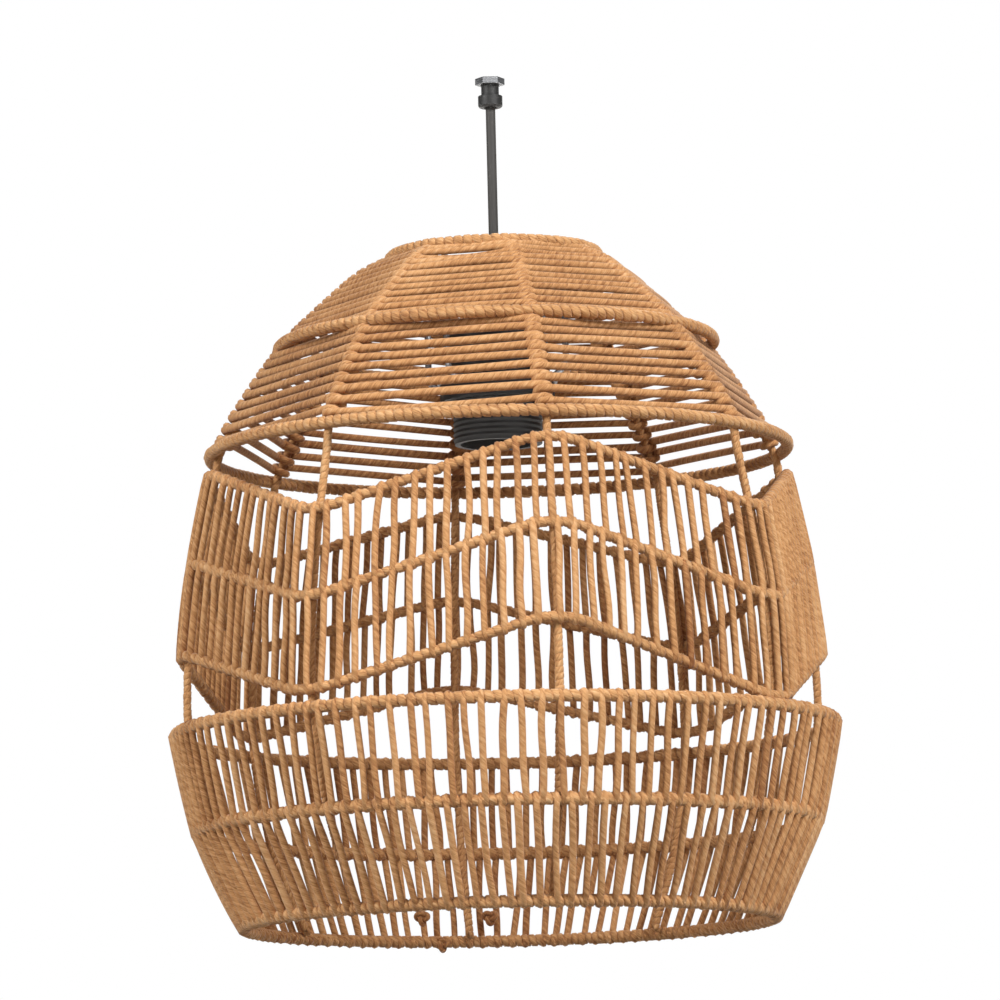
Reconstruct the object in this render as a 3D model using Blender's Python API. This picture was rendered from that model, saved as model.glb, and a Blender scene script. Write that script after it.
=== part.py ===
"""Pendant lamp shade of paper rope woven on a wire frame, with its cord and lamp holder.

Metres, +Z up. The origin is the point that the shade hangs from, at the mouth of the arm gland.
Heights of the shade are counted from the plane of its bottom ring and then lowered by
hang_height(), which follows from where the fitter ring sits on the lamp holder. Every piece is
one closed body.
"""

import math

import bpy

GAP = 0.0003  # between pieces that touch

# Suspension
CORD_RADIUS = 0.0022
CORD_LENGTH = 0.0915  # gland's mouth to the end of the cord
GLAND_RADIUS = 0.0055
GLAND_HEIGHT = 0.0055
GLAND_STEM_RADIUS = 0.004
GLAND_STEM_HEIGHT = 0.008
GLAND_CLEARANCE = 0.0006  # round the cord, so that it can swing
GLAND_NUT_FLAT = 0.0058  # axis to a flat
GLAND_NUT_HEIGHT = 0.003

# Lamp holder, downwards from the end of the cord
GRIP_RADIUS = 0.006
GRIP_HEIGHT = 0.008
GRIP_SCREW_RADIUS = 0.0012
GRIP_SCREW_LENGTH = 0.0024
COVER_OVERHANG = 0.0009  # of the cover past the skirt
COVER_HEIGHT = 0.0244
COVER_WALL = 0.002
COVER_EDGE = 0.0025  # rounding of the cover's upper edge
SKIRT_RADIUS = 0.0203
SKIRT_HEIGHT = 0.0291  # part of the skirt below the cover
SKIRT_WALL = 0.0032
SKIRT_NECK = 0.0125  # part of the skirt inside the cover
THREAD_DEPTH = 0.0006
COVER_RADIUS = SKIRT_RADIUS + COVER_OVERHANG
THREAD_PITCH = 0.0024
INSERT_HEIGHT = 0.009
SHELL_RADIUS = 0.01385
SHELL_WALL = 0.0005
SHELL_HEIGHT = 0.024
CONTACT_RADIUS = 0.004
CONTACT_HEIGHT = 0.0022

# Fitting of the shade on the holder
FITTER_WIDTH = 0.0064
FITTER_THICKNESS = 0.0015
RING_NUT_WIDTH = 0.0052
RING_NUT_HEIGHT = 0.008
RING_NUT_GRIPS = 24
RING_NUT_GRIP_DEPTH = 0.0006
THREAD_CLEARANCE = 0.0004
ARM_COUNT = 4
ARM_RADIUS = 0.0015
ARM_RISE_RADIUS = 0.038  # distance from the axis at which the spider arms rise

# Shade: rises from one wire to the next and radii to the middle of each wound wire
FITTER_RECESS = 0.0563  # top of the fitter ring below the top ring's plane
BOTTOM_RADIUS = 0.1185
BAND_LOWER_RISE = 0.042
BAND_MIDDLE_RADIUS = 0.138
BAND_UPPER_RISE = 0.043
BAND_TOP_RADIUS = 0.147
LOWER_ZIGZAG_RISE = 0.0057  # band top ring to the zigzag's valleys
LOWER_ZIGZAG_RADIUS = 0.1475
MIDDLE_ZIGZAG_RISE = 0.041
MIDDLE_ZIGZAG_RADIUS = 0.1438
UPPER_ZIGZAG_RISE = 0.039
UPPER_ZIGZAG_RADIUS = 0.1362
ZIGZAG_SWING = 0.0153  # height of a peak or a valley from the middle of its zigzag
CAP_OPEN_RISE = 0.0092  # upper zigzag's peaks to the cap lower ring
CAP_LOWER_RADIUS = 0.1294
CAP_LOWER_RISE = 0.0485
CAP_MIDDLE_RADIUS = 0.0976
CAP_UPPER_RISE = 0.0405
CAP_DOME = ((0.583, 0.514), (0.264, 0.84))  # shares of the way out to the middle ring and up
TOP_RADIUS = 0.0465
RIB_COUNT = 8
RIB_TURN = math.radians(-82.5)  # direction of the front rib
RIB_RADIUS = 0.0016
RING_WOUND_RADIUS = 0.003
ZIGZAG_WOUND_RADIUS = 0.00245
ZIGZAG_PROUD = 0.0005  # how far a zigzag's corners stand out from the middle of the weave
ZIGZAG_BEND = 0.003  # length of wire on each side of a corner that the bend takes
ROPE_DIAMETER = 0.003
BAND_PROUD = 0.0018  # how far the rope of a tier stands out from the middle of its wires
MIDDLE_PROUD = 0.0012
CAP_PROUD = 0.0

# Heights over the bottom ring that follow from the rises
BAND_MIDDLE_HEIGHT = BAND_LOWER_RISE
BAND_TOP_HEIGHT = BAND_MIDDLE_HEIGHT + BAND_UPPER_RISE
LOWER_ZIGZAG_HEIGHT = BAND_TOP_HEIGHT + LOWER_ZIGZAG_RISE + ZIGZAG_SWING
MIDDLE_ZIGZAG_HEIGHT = LOWER_ZIGZAG_HEIGHT + MIDDLE_ZIGZAG_RISE
UPPER_ZIGZAG_HEIGHT = MIDDLE_ZIGZAG_HEIGHT + UPPER_ZIGZAG_RISE
CAP_LOWER_HEIGHT = UPPER_ZIGZAG_HEIGHT + ZIGZAG_SWING + CAP_OPEN_RISE
CAP_MIDDLE_HEIGHT = CAP_LOWER_HEIGHT + CAP_LOWER_RISE
TOP_HEIGHT = CAP_MIDDLE_HEIGHT + CAP_UPPER_RISE

ROUND_STEPS = 48  # a multiple of RIB_COUNT, so that ribs stand at corners of the rings
SMALL_STEPS = 32


def remove_everything():
    for item in list(bpy.data.objects):
        bpy.data.objects.remove(item, do_unlink=True)


def make_material(name, colour, roughness, metallic=0.0):
    material = bpy.data.materials.new(name)
    material.use_nodes = True
    shader = material.node_tree.nodes["Principled BSDF"]
    shader.inputs["Base Color"].default_value = (*colour, 1.0)
    shader.inputs["Roughness"].default_value = roughness
    shader.inputs["Metallic"].default_value = metallic
    return material


def add_solid(name, points, faces, finish, smooth=True, pivot=None):
    """Adds one closed body with its own material, hung on its joint's empty where it moves."""
    mesh = bpy.data.meshes.new(name)
    mesh.from_pydata(points, [], faces)
    mesh.materials.append(make_material(name, *finish))
    mesh.polygons.foreach_set("use_smooth", [smooth] * len(mesh.polygons))
    solid = bpy.data.objects.new(name, mesh)
    bpy.context.collection.objects.link(solid)
    if pivot is not None:
        solid.parent = pivot
        solid.matrix_parent_inverse = pivot.matrix_world.inverted()
    return solid


def add_pivot(name, place, parent=None):
    """An empty on a joint's axis."""
    pivot = bpy.data.objects.new(name, None)
    pivot.empty_display_size = 0.02
    bpy.context.collection.objects.link(pivot)
    pivot.location = place
    bpy.context.view_layer.update()
    if parent is not None:
        pivot.parent = parent
        pivot.matrix_parent_inverse = parent.matrix_world.inverted()
        bpy.context.view_layer.update()
    return pivot


def polar(radius, angle, height):
    return (radius * math.cos(angle), radius * math.sin(angle), height)


def subtract(a, b):
    return tuple(x - y for x, y in zip(a, b))


def add_scaled(a, b, scale):
    return tuple(x + y * scale for x, y in zip(a, b))


def dot(a, b):
    return sum(x * y for x, y in zip(a, b))


def cross(a, b):
    return (
        a[1] * b[2] - a[2] * b[1],
        a[2] * b[0] - a[0] * b[2],
        a[0] * b[1] - a[1] * b[0],
    )


def unit(a):
    length = math.sqrt(dot(a, a))
    return tuple(x / length for x in a)


def grid_faces(rows, columns, closed_rows, closed_columns=True):
    """Faces of a grid of points that is stored row by row."""
    faces = []
    for row in range(rows if closed_rows else rows - 1):
        for column in range(columns if closed_columns else columns - 1):
            below = row * columns
            above = (row + 1) % rows * columns
            beside = (column + 1) % columns
            faces.append((below + column, below + beside, above + beside, above + column))
    return faces


def lathe(name, outline, steps, finish, smooth=True, pivot=None):
    """Turns a closed outline of (radius, height) about Z. Points on the axis make a pole."""
    points = []
    places = []
    for radius, height in outline:
        if radius < 1e-9:
            places.append([len(points)] * steps)
            points.append((0.0, 0.0, height))
            continue
        places.append(list(range(len(points), len(points) + steps)))
        for step in range(steps):
            points.append(polar(radius, RIB_TURN + 2 * math.pi * step / steps, height))
    faces = []
    on_axis = outline[0][0] < 1e-9 and outline[-1][0] < 1e-9
    for index in range(len(outline) - 1 if on_axis else len(outline)):
        low = places[index]
        high = places[(index + 1) % len(outline)]
        for step in range(steps):
            after = (step + 1) % steps
            corners = []
            for corner in (low[step], low[after], high[after], high[step]):
                if corner not in corners:
                    corners.append(corner)
            faces.append(tuple(corners))
    return add_solid(name, points, faces, finish, smooth, pivot)


def wound_ring(name, radius, height, steps, finish, pivot, sides=8):
    """A round ring whose section is a circle."""
    outline = []
    for side in range(sides):
        angle = 2 * math.pi * side / sides
        outline.append(
            (
                radius + RING_WOUND_RADIUS * math.cos(angle),
                height + RING_WOUND_RADIUS * math.sin(angle),
            )
        )
    return lathe(name, outline, steps, finish, True, pivot)


def sweep(name, path, radius, sides, finish, closed=False, pivot=None):
    """A round wire along a path, mitred at its corners. Each section's frame is kept upright by
    the direction out from the Z axis, which no path here runs along."""
    count = len(path)
    points = []
    for index, place in enumerate(path):
        before = path[index - 1] if closed or index else None
        after = path[(index + 1) % count] if closed or index < count - 1 else None
        to_here = unit(subtract(place, before)) if before else None
        from_here = unit(subtract(after, place)) if after else to_here
        to_here = to_here or from_here
        along = unit(tuple(a + b for a, b in zip(to_here, from_here)))
        sideways = unit((-place[1], place[0], 0.0))
        if abs(dot(sideways, along)) > 0.5:
            sideways = unit((place[0], place[1], 0.0))
        sideways = unit(add_scaled(sideways, along, -dot(sideways, along)))
        across = cross(along, sideways)
        bend = add_scaled(from_here, to_here, -1.0)
        stretch = 1.0 / max(dot(along, from_here), 0.5)
        bend_size = math.sqrt(dot(bend, bend))
        for side in range(sides):
            angle = 2 * math.pi * side / sides
            offset = tuple(
                radius * (math.cos(angle) * a + math.sin(angle) * b)
                for a, b in zip(sideways, across)
            )
            if bend_size > 1e-9:
                toward = unit(bend)
                offset = add_scaled(offset, toward, dot(offset, toward) * (stretch - 1.0))
            points.append(tuple(a + b for a, b in zip(place, offset)))
    faces = grid_faces(count, sides, closed)
    if not closed:
        faces.append(tuple(reversed(range(sides))))
        faces.append(tuple(range((count - 1) * sides, count * sides)))
    return add_solid(name, points, faces, finish, True, pivot)


# The shade's profile


def cap_dome():
    """Points between the cap's middle ring and the top ring that round the cap."""
    width = CAP_MIDDLE_RADIUS - TOP_RADIUS
    return [
        (TOP_RADIUS + width * out, CAP_MIDDLE_HEIGHT + CAP_UPPER_RISE * up)
        for out, up in CAP_DOME
    ]


def profile_knots():
    return [
        (BOTTOM_RADIUS, 0.0),
        (BAND_MIDDLE_RADIUS, BAND_MIDDLE_HEIGHT),
        (BAND_TOP_RADIUS, BAND_TOP_HEIGHT),
        (LOWER_ZIGZAG_RADIUS, LOWER_ZIGZAG_HEIGHT),
        (MIDDLE_ZIGZAG_RADIUS, MIDDLE_ZIGZAG_HEIGHT),
        (UPPER_ZIGZAG_RADIUS, UPPER_ZIGZAG_HEIGHT),
        (CAP_LOWER_RADIUS, CAP_LOWER_HEIGHT),
        (CAP_MIDDLE_RADIUS, CAP_MIDDLE_HEIGHT),
        *cap_dome(),
        (TOP_RADIUS, TOP_HEIGHT),
    ]


def smooth_profile(steps=8):
    """Centripetal Catmull-Rom curve through the knots, as (radius, height) from bottom to top."""
    knots = profile_knots()
    first = tuple(2 * a - b for a, b in zip(knots[0], knots[1]))
    last = tuple(2 * a - b for a, b in zip(knots[-1], knots[-2]))
    knots = [first, *knots, last]
    curve = []
    for index in range(1, len(knots) - 2):
        a, b, c, d = knots[index - 1 : index + 3]
        t0 = 0.0
        t1 = t0 + math.dist(a, b) ** 0.5
        t2 = t1 + math.dist(b, c) ** 0.5
        t3 = t2 + math.dist(c, d) ** 0.5
        for step in range(steps):
            t = t1 + (t2 - t1) * step / steps
            ab = blend(a, b, t0, t1, t)
            bc = blend(b, c, t1, t2, t)
            cd = blend(c, d, t2, t3, t)
            curve.append(blend(blend(ab, bc, t0, t2, t), blend(bc, cd, t1, t3, t), t1, t2, t))
    curve.append(knots[-2])
    return curve


def blend(a, b, start, end, t):
    share = (t - start) / (end - start)
    return tuple(x + (y - x) * share for x, y in zip(a, b))


PROFILE = smooth_profile()


def profile_at(height):
    """(radius, height) of the profile at a height."""
    for low, high in zip(PROFILE, PROFILE[1:]):
        if height <= high[1]:
            return blend(low, high, low[1], high[1], height)
    return PROFILE[-1]


def inward(height):
    """Unit (radius, height) direction from the profile into the shade."""
    step = TOP_HEIGHT / 300
    low = profile_at(max(height - step, 0.0))
    high = profile_at(min(height + step, TOP_HEIGHT))
    length = math.dist(low, high)
    return (-(high[1] - low[1]) / length, (high[0] - low[0]) / length)


def inside_profile(height, depth):
    radius, level = profile_at(height)
    direction = inward(height)
    return (radius + direction[0] * depth, level + direction[1] * depth)


def height_beyond(height, distance):
    """Height on the profile that lies a signed distance along it from another height."""
    steps = 40
    level = height
    for _ in range(steps):
        direction = inward(level)
        level += distance / steps * abs(direction[0])
    return level


def rib_angle(index):
    return RIB_TURN + 2 * math.pi * index / RIB_COUNT


def zigzag_height(middle, index):
    """Even ribs carry the peaks and odd ribs the valleys."""
    return middle + (ZIGZAG_SWING if index % 2 == 0 else -ZIGZAG_SWING)


def rib_depth():
    """Depth of a rib's axis below the middle of the rings: it stands in the inner corner of the
    weave, clear of both walls of the corner."""
    return ROPE_DIAMETER + (RIB_RADIUS + GAP) / math.cos(math.pi / RIB_COUNT)


def weave_wall(name, columns, low_edge, high_edge, levels, proud, smooth, pivot):
    """A closed wall between two edges, one rope thick, that goes all round the shade. The edges
    are functions from a column to a height on the profile."""
    points = []
    for depth in (-proud - ROPE_DIAMETER / 2, -proud + ROPE_DIAMETER / 2):
        for level in range(levels):
            for column in range(columns):
                low = low_edge(column)
                high = high_edge(column)
                height = low + (high - low) * level / (levels - 1)
                radius, height = inside_profile(height, depth)
                angle = RIB_TURN + 2 * math.pi * column / columns
                points.append(polar(radius, angle, height - hang_height()))
    size = levels * columns
    quads = grid_faces(levels, columns, False)
    inner = [tuple(corner + size for corner in reversed(quad)) for quad in quads]
    faces = quads + inner
    for column in range(columns):
        beside = (column + 1) % columns
        faces.append((beside, column, column + size, beside + size))
        top = (levels - 1) * columns
        faces.append((top + column, top + beside, top + beside + size, top + column + size))
    triangles = []
    for index, (a, b, c, d) in enumerate(faces):
        if index < len(quads):
            triangles += [(a, b, c), (a, c, d)]
        elif index < 2 * len(quads):
            triangles += [(a, b, d), (b, c, d)]
        else:
            triangles += [(a, b, c), (a, c, d)]
    return add_solid(name, points, triangles, PAPER_ROPE, smooth, pivot)


# Finishes: colour, roughness, metallic

BLACK_PLASTIC = ((0.012, 0.012, 0.012), 0.42)
BLACK_PAINT = ((0.015, 0.015, 0.016), 0.45)
GREY_CABLE = ((0.09, 0.088, 0.085), 0.6)
BRASS = ((0.72, 0.5, 0.2), 0.3, 1.0)
STEEL = ((0.55, 0.55, 0.56), 0.35, 1.0)
CERAMIC = ((0.8, 0.78, 0.74), 0.5)
PAPER_ROPE = ((0.52, 0.3, 0.14), 0.85)
PAPER_WINDING = ((0.56, 0.33, 0.16), 0.85)


def add_gland():
    """The collar on the arm's end: a body below the arm, a threaded stem in it and a nut."""
    bore = CORD_RADIUS + GLAND_CLEARANCE
    rounding = 0.0008
    outline = [
        (bore, 0.0),
        (GLAND_RADIUS - rounding, 0.0),
        (GLAND_RADIUS, rounding),
        (GLAND_RADIUS, GLAND_HEIGHT),
        (GLAND_STEM_RADIUS, GLAND_HEIGHT),
        (GLAND_STEM_RADIUS, GLAND_HEIGHT + GLAND_STEM_HEIGHT),
        (bore, GLAND_HEIGHT + GLAND_STEM_HEIGHT),
    ]
    lathe("arm_gland", outline, SMALL_STEPS, BLACK_PAINT, False)
    top = GLAND_HEIGHT + GLAND_STEM_HEIGHT
    base = top - GLAND_NUT_HEIGHT
    hole = GLAND_STEM_RADIUS + GAP
    steps = 24
    points = []
    for height, outside in ((base, False), (base, True), (top, True), (top, False)):
        for step in range(steps):
            from_flat = step % (steps // 6) * 2 * math.pi / steps - math.pi / 6
            radius = GLAND_NUT_FLAT / math.cos(from_flat) if outside else hole
            points.append(polar(radius, 2 * math.pi * step / steps, height))
    add_solid("gland_nut", points, grid_faces(4, steps, True), STEEL, False)


def add_cord(pivot):
    """A straight cord with round ends, whose centres are the two points that it swings about."""
    outline = []
    for centre, way in ((CORD_RADIUS - CORD_LENGTH, -1), (0.0, 1)):
        for step in range(6):
            angle = math.pi / 2 * (step if way > 0 else 5 - step) / 5
            radius = CORD_RADIUS * math.cos(angle) if step % 5 or angle < 1 else 0.0
            outline.append((radius, centre + way * CORD_RADIUS * math.sin(angle)))
    lathe("suspension_cord", outline, 16, GREY_CABLE, True, pivot)


def grip_top():
    return -CORD_LENGTH - GAP


def cover_top():
    return grip_top() - GRIP_HEIGHT - GAP


def cover_bottom():
    return cover_top() - COVER_HEIGHT


def skirt_bottom():
    return cover_bottom() - SKIRT_HEIGHT


def add_holder(pivot):
    top = grip_top()
    base = top - GRIP_HEIGHT
    chamfer = 0.001
    grip = [
        (0.0, base),
        (GRIP_RADIUS + chamfer, base),
        (GRIP_RADIUS, base + chamfer),
        (GRIP_RADIUS, top - chamfer),
        (GRIP_RADIUS - chamfer, top),
        (0.0, top),
    ]
    lathe("cord_grip", grip, SMALL_STEPS, BLACK_PLASTIC, False, pivot)
    add_grip_screw(top - GRIP_HEIGHT / 2, pivot)

    inside = COVER_RADIUS - COVER_WALL
    cover = [(0.0, cover_top() - COVER_WALL), (inside, cover_top() - COVER_WALL)]
    cover += [(inside, cover_bottom()), (COVER_RADIUS, cover_bottom())]
    for step in range(5):
        angle = math.pi / 2 * step / 4
        cover.append(
            (
                COVER_RADIUS - COVER_EDGE * (1 - math.cos(angle)),
                cover_top() - COVER_EDGE * (1 - math.sin(angle)),
            )
        )
    cover.append((0.0, cover_top()))
    lathe("holder_cover", cover, ROUND_STEPS, BLACK_PLASTIC, False, pivot)

    neck = inside - GAP
    bore = SKIRT_RADIUS - SKIRT_WALL
    neck_top = cover_bottom() + SKIRT_NECK
    shoulder = cover_bottom() - GAP
    skirt = [(bore, skirt_bottom()), (SKIRT_RADIUS - THREAD_DEPTH, skirt_bottom())]
    turns = int((SKIRT_HEIGHT - 0.004) / THREAD_PITCH)
    level = skirt_bottom() + 0.001
    for _ in range(turns):
        skirt.append((SKIRT_RADIUS - THREAD_DEPTH, level))
        skirt.append((SKIRT_RADIUS, level + THREAD_PITCH / 2))
        level += THREAD_PITCH
    skirt.append((SKIRT_RADIUS - THREAD_DEPTH, level))
    skirt += [(SKIRT_RADIUS - THREAD_DEPTH, shoulder), (neck, shoulder)]
    skirt += [(neck, neck_top), (bore, neck_top)]
    lathe("holder_skirt", skirt, ROUND_STEPS, BLACK_PLASTIC, False, pivot)

    insert_radius = bore - GAP
    insert_top = neck_top - 0.002
    insert_base = insert_top - INSERT_HEIGHT
    insert = [
        (0.0, insert_base),
        (insert_radius, insert_base),
        (insert_radius, insert_top),
        (insert_radius / 2, insert_top),
        (insert_radius / 2, insert_top + 0.003),
        (0.0, insert_top + 0.003),
    ]
    lathe("contact_insert", insert, SMALL_STEPS, CERAMIC, False, pivot)

    shell_top = insert_base - GAP
    shell_base = shell_top - SHELL_HEIGHT
    shell = [
        (SHELL_RADIUS - SHELL_WALL, shell_base),
        (SHELL_RADIUS, shell_base),
        (SHELL_RADIUS, shell_top),
        (SHELL_RADIUS - SHELL_WALL, shell_top),
    ]
    lathe("screw_shell", shell, SMALL_STEPS, BRASS, True, pivot)
    contact = [
        (0.0, shell_top - CONTACT_HEIGHT),
        (CONTACT_RADIUS - 0.001, shell_top - CONTACT_HEIGHT),
        (CONTACT_RADIUS, shell_top - CONTACT_HEIGHT / 2),
        (CONTACT_RADIUS, shell_top),
        (0.0, shell_top),
    ]
    lathe("centre_contact", contact, 16, BRASS, False, pivot)


def add_grip_screw(height, pivot):
    """A small screw through the side of the grip, which clamps the cord."""
    start = GRIP_RADIUS + GAP
    path = [(0.0, start, height), (0.0, start + GRIP_SCREW_LENGTH, height)]
    sides = 10
    points = []
    for _, y, z in path:
        for side in range(sides):
            angle = 2 * math.pi * side / sides
            points.append(
                (GRIP_SCREW_RADIUS * math.sin(angle), y, z + GRIP_SCREW_RADIUS * math.cos(angle))
            )
    faces = grid_faces(2, sides, False)
    faces.append(tuple(reversed(range(sides))))
    faces.append(tuple(range(sides, 2 * sides)))
    add_solid("grip_screw", points, faces, STEEL, False, pivot)


def hang_height():
    """From the plane of the bottom ring up to the origin."""
    return TOP_HEIGHT - FITTER_RECESS - fitter_top()


def fitter_bore():
    return SKIRT_RADIUS + THREAD_CLEARANCE


def fitter_top():
    return cover_bottom() - GAP


def fitter_outside():
    return fitter_bore() + FITTER_WIDTH


def add_ring_nut(pivot):
    """Ring under the fitter, with grips round its outside."""
    top = fitter_top() - FITTER_THICKNESS - GAP
    base = top - RING_NUT_HEIGHT
    bore = fitter_bore()
    outside = bore + RING_NUT_WIDTH
    steps = 2 * RING_NUT_GRIPS
    points = []
    for radius, height, fluted in (
        (bore, base, False),
        (outside, base, True),
        (outside, top, True),
        (bore, top, False),
    ):
        for step in range(steps):
            depth = RING_NUT_GRIP_DEPTH if fluted and step % 2 else 0.0
            angle = RIB_TURN + 2 * math.pi * step / steps
            points.append(polar(radius - depth, angle, height))
    faces = grid_faces(4, steps, True)
    add_solid("retaining_ring", points, faces, BLACK_PLASTIC, False, pivot)


def add_fitter(pivot):
    """Flat washer that the holder goes through, and the arms from it to the top ring."""
    top = fitter_top()
    base = top - FITTER_THICKNESS
    washer = [
        (fitter_bore(), base),
        (fitter_outside(), base),
        (fitter_outside(), top),
        (fitter_bore(), top),
    ]
    lathe("fitter_ring", washer, ROUND_STEPS, STEEL, False, pivot)
    middle = (top + base) / 2
    end = TOP_HEIGHT - hang_height()
    outer = TOP_RADIUS - RING_WOUND_RADIUS - GAP
    start = fitter_outside() + GAP
    turn = 0.003
    route = [
        (start, middle),
        (ARM_RISE_RADIUS - 2 * turn, middle),
        (ARM_RISE_RADIUS - turn / 2, middle + turn),
        (ARM_RISE_RADIUS, middle + 2 * turn + turn / 2),
        (ARM_RISE_RADIUS, end - turn),
        (ARM_RISE_RADIUS + turn / 3, end - turn / 3),
        (outer, end),
    ]
    for arm in range(ARM_COUNT):
        angle = rib_angle(arm * RIB_COUNT // ARM_COUNT + 1)
        path = [polar(radius, angle, height) for radius, height in route]
        sweep(f"spider_arm_{arm + 1}", path, ARM_RADIUS, 8, STEEL, False, pivot)


def add_rings(pivot):
    rings = (
        ("band_bottom_ring", BOTTOM_RADIUS, 0.0),
        ("band_middle_ring", BAND_MIDDLE_RADIUS, BAND_MIDDLE_HEIGHT),
        ("band_top_ring", BAND_TOP_RADIUS, BAND_TOP_HEIGHT),
        ("cap_lower_ring", CAP_LOWER_RADIUS, CAP_LOWER_HEIGHT),
        ("cap_middle_ring", CAP_MIDDLE_RADIUS, CAP_MIDDLE_HEIGHT),
        ("top_ring", TOP_RADIUS, TOP_HEIGHT),
    )
    for name, radius, height in rings:
        wound_ring(name, radius, height - hang_height(), ROUND_STEPS, PAPER_WINDING, pivot)


def add_zigzags(pivot):
    """Wires that run straight from a peak on one rib to a valley on the next."""
    zigzags = (
        ("zigzag_lower", LOWER_ZIGZAG_HEIGHT),
        ("zigzag_middle", MIDDLE_ZIGZAG_HEIGHT),
        ("zigzag_upper", UPPER_ZIGZAG_HEIGHT),
    )
    for name, middle in zigzags:
        corners = []
        for index in range(RIB_COUNT):
            radius, height = profile_at(zigzag_height(middle, index))
            corners.append(polar(radius + ZIGZAG_PROUD, rib_angle(index), height - hang_height()))
        path = []
        for index, corner in enumerate(corners):
            before = unit(subtract(corners[index - 1], corner))
            after = unit(subtract(corners[(index + 1) % RIB_COUNT], corner))
            path.append(add_scaled(corner, before, ZIGZAG_BEND))
            path.append(add_scaled(corner, after, ZIGZAG_BEND))
        sweep(name, path, ZIGZAG_WOUND_RADIUS, 8, PAPER_WINDING, True, pivot)


def add_ribs(pivot):
    """Wires bent to the profile, with a point exactly inside each ring."""
    knots = [height for _, height in profile_knots()]
    knots[-1] = height_beyond(TOP_HEIGHT, -RING_WOUND_RADIUS / 2)
    shares = (0.12, 0.37, 0.63, 0.88, 1.0)  # closer together at the rings, where the bend is
    heights = [knots[0]]
    for low, high in zip(knots, knots[1:]):
        heights += [low + (high - low) * share for share in shares]
    for index in range(RIB_COUNT):
        path = []
        for level in heights:
            radius, height = inside_profile(level, rib_depth())
            path.append(polar(radius, rib_angle(index), height - hang_height()))
        sweep(f"rib_{index + 1}", path, RIB_RADIUS, 6, PAPER_WINDING, False, pivot)


def add_weave(pivot):
    ring_margin = RING_WOUND_RADIUS + GAP
    slope = math.atan2(
        2 * ZIGZAG_SWING, 2 * LOWER_ZIGZAG_RADIUS * math.sin(math.pi / RIB_COUNT)
    )
    zigzag_margin = (ZIGZAG_WOUND_RADIUS + GAP) / math.cos(slope) + ZIGZAG_PROUD

    def over(height, margin):
        return height_beyond(height, margin)

    tiers = (
        ("band_lower_weave", 0.0, BAND_MIDDLE_HEIGHT, ROUND_STEPS, BAND_PROUD),
        ("band_upper_weave", BAND_MIDDLE_HEIGHT, BAND_TOP_HEIGHT, ROUND_STEPS, BAND_PROUD),
        ("cap_lower_weave", CAP_LOWER_HEIGHT, CAP_MIDDLE_HEIGHT, RIB_COUNT, CAP_PROUD),
        ("cap_upper_weave", CAP_MIDDLE_HEIGHT, TOP_HEIGHT, RIB_COUNT, CAP_PROUD),
    )
    for name, low, high, columns, proud in tiers:
        low_edge = over(low, ring_margin)
        high_edge = over(high, -ring_margin)
        if columns == RIB_COUNT:
            high_edge = high - ring_margin - ROPE_DIAMETER / 2  # flat panels pass under the ring
        weave_wall(
            name,
            columns,
            lambda column, edge=low_edge: edge,
            lambda column, edge=high_edge: edge,
            8,
            proud,
            columns == ROUND_STEPS,
            pivot,
        )
    for name, low, high in (
        ("middle_lower_weave", LOWER_ZIGZAG_HEIGHT, MIDDLE_ZIGZAG_HEIGHT),
        ("middle_upper_weave", MIDDLE_ZIGZAG_HEIGHT, UPPER_ZIGZAG_HEIGHT),
    ):
        weave_wall(
            name,
            RIB_COUNT,
            lambda column, edge=low: over(zigzag_height(edge, column), zigzag_margin),
            lambda column, edge=high: over(zigzag_height(edge, column), -zigzag_margin),
            9,
            MIDDLE_PROUD,
            False,
            pivot,
        )


def main():
    remove_everything()
    swing = add_pivot("pivot_cord_swing", (0.0, 0.0, 0.0))
    sway = add_pivot("pivot_shade_sway", (0.0, 0.0, CORD_RADIUS - CORD_LENGTH), swing)
    turn = add_pivot("pivot_shade_turn", (0.0, 0.0, fitter_top()), sway)
    screw = add_pivot("pivot_ring_screw", (0.0, 0.0, skirt_bottom()), sway)
    add_gland()
    add_cord(swing)
    add_holder(sway)
    add_ring_nut(screw)
    add_fitter(turn)
    add_rings(turn)
    add_zigzags(turn)
    add_ribs(turn)
    add_weave(turn)


main()
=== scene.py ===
# %% [markdown]
# # A pendant shade of twisted paper rope
# The real shade is a frame of steel wire on which someone has wound and strung many metres of
# kraft paper rope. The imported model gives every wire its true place. This script dresses that
# frame: it winds the wires, strings the weave, turns the lamp holder and mixes the finishes.

import math

import bmesh
import bpy
import numpy as np
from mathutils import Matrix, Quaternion, Vector


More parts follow.
